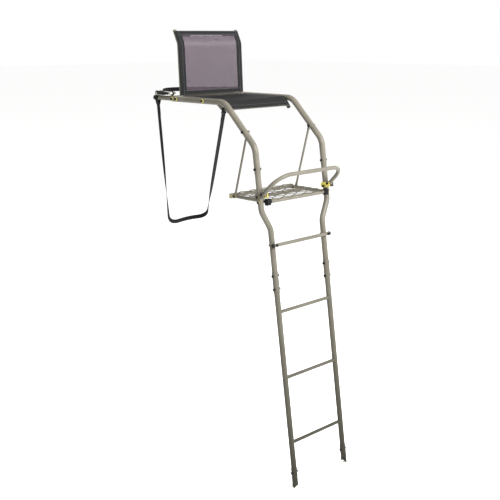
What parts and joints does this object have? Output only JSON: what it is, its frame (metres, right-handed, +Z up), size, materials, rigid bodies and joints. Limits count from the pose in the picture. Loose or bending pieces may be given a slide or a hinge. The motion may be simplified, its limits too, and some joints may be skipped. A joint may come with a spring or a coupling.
{
  "type": "ladder tree stand",
  "caption": "Leaning tube-frame ladder with a sling seat, backrest, mesh foot platform, swinging footrest and straps that tie it to a tree.",
  "frame": {"origin": "on the ground, under the middle of the whole stand without its straps", "axes": "+Z up; the climber comes from -Y and the tree is at +Y; +X to the right of a climber facing the tree"},
  "size_m": [0.5902, 1.2954, 2.5094],
  "materials": {
    "frame_paint": "semi-gloss powder coat",
    "fabric_black": "woven polyester",
    "webbing_black": "woven webbing",
    "zinc": "yellow zinc plate",
    "black_steel": "black oxide",
    "black_plastic": "moulded"
  },
  "bodies": {
    "stand": {"arm_end_caps": "black_plastic", "backrest_post_left": "frame_paint", "backrest_post_right": "frame_paint", "backrest_sling": "fabric_black", "backrest_top_bar": "frame_paint", "black_washers": "black_steel", "bottom_rung": "frame_paint", "brace_rod_left": "frame_paint", "brace_rod_right": "frame_paint", "chair_end_plugs": "black_plastic", "foot_left": "frame_paint", "foot_right": "frame_paint", "frame_bolts": "black_steel", "frame_nuts": "black_steel", "front_strap_hook": "black_steel", "ladder_sleeve_left": "frame_paint", "ladder_sleeve_right": "frame_paint", "lower_leg_left": "frame_paint", "lower_leg_right": "frame_paint", "middle_upright_left": "frame_paint", "middle_upright_right": "frame_paint", "pivot_bolts": "black_steel", "pivot_bracket_left": "zinc", "pivot_bracket_right": "zinc", "platform_corner_clips": "zinc", "platform_deck": "frame_paint", "platform_front_bar": "frame_paint", "platform_middle_bar": "frame_paint", "platform_rear_bar": "frame_paint", "platform_side_left": "frame_paint", "platform_side_right": "frame_paint", "rail_left": "frame_paint", "rail_right": "frame_paint", "ratchet_frame": "black_steel", "rear_strap_loop": "webbing_black", "seat_front_bar": "frame_paint", "seat_rear_bar": "frame_paint", "seat_sling": "fabric_black", "seat_tube_left": "frame_paint", "seat_tube_right": "frame_paint", "second_rung": "frame_paint", "spacers": "black_steel", "stabiliser_strap": "webbing_black", "stop_block_left": "black_plastic", "stop_block_right": "black_plastic", "strap_tab": "frame_paint", "third_rung": "frame_paint", "top_rung": "frame_paint", "top_rung_caps": "black_plastic", "tree_arm_left": "frame_paint", "tree_arm_right": "frame_paint", "tree_blade": "frame_paint", "tree_crossbar": "frame_paint", "tree_strap": "webbing_black", "tree_strap_anchor": "black_steel", "zinc_washers": "zinc"},
    "footrest": {"footrest_bar": "frame_paint"},
    "handle": {"ratchet_handle": "black_steel"},
    "spool": {"ratchet_spool": "black_steel"}
  },
  "joints": [
    {"name": "footrest_hinge", "type": "hinge", "parent": "stand", "child": "footrest", "pos_m": [0, -0.3408, 1.652], "axis": [1, 0, 0], "range_deg": [-48, 0]},
    {"name": "ratchet_handle_hinge", "type": "hinge", "parent": "stand", "child": "handle", "pos_m": [-0.269, 0.52091, 2.1485], "axis": [1, 0, 0], "range_deg": [-120, 0]},
    {"name": "ratchet_spool_spin", "type": "hinge", "parent": "stand", "child": "spool", "pos_m": [-0.269, 0.52091, 2.1485], "axis": [1, 0, 0], "continuous": true}
  ]
}
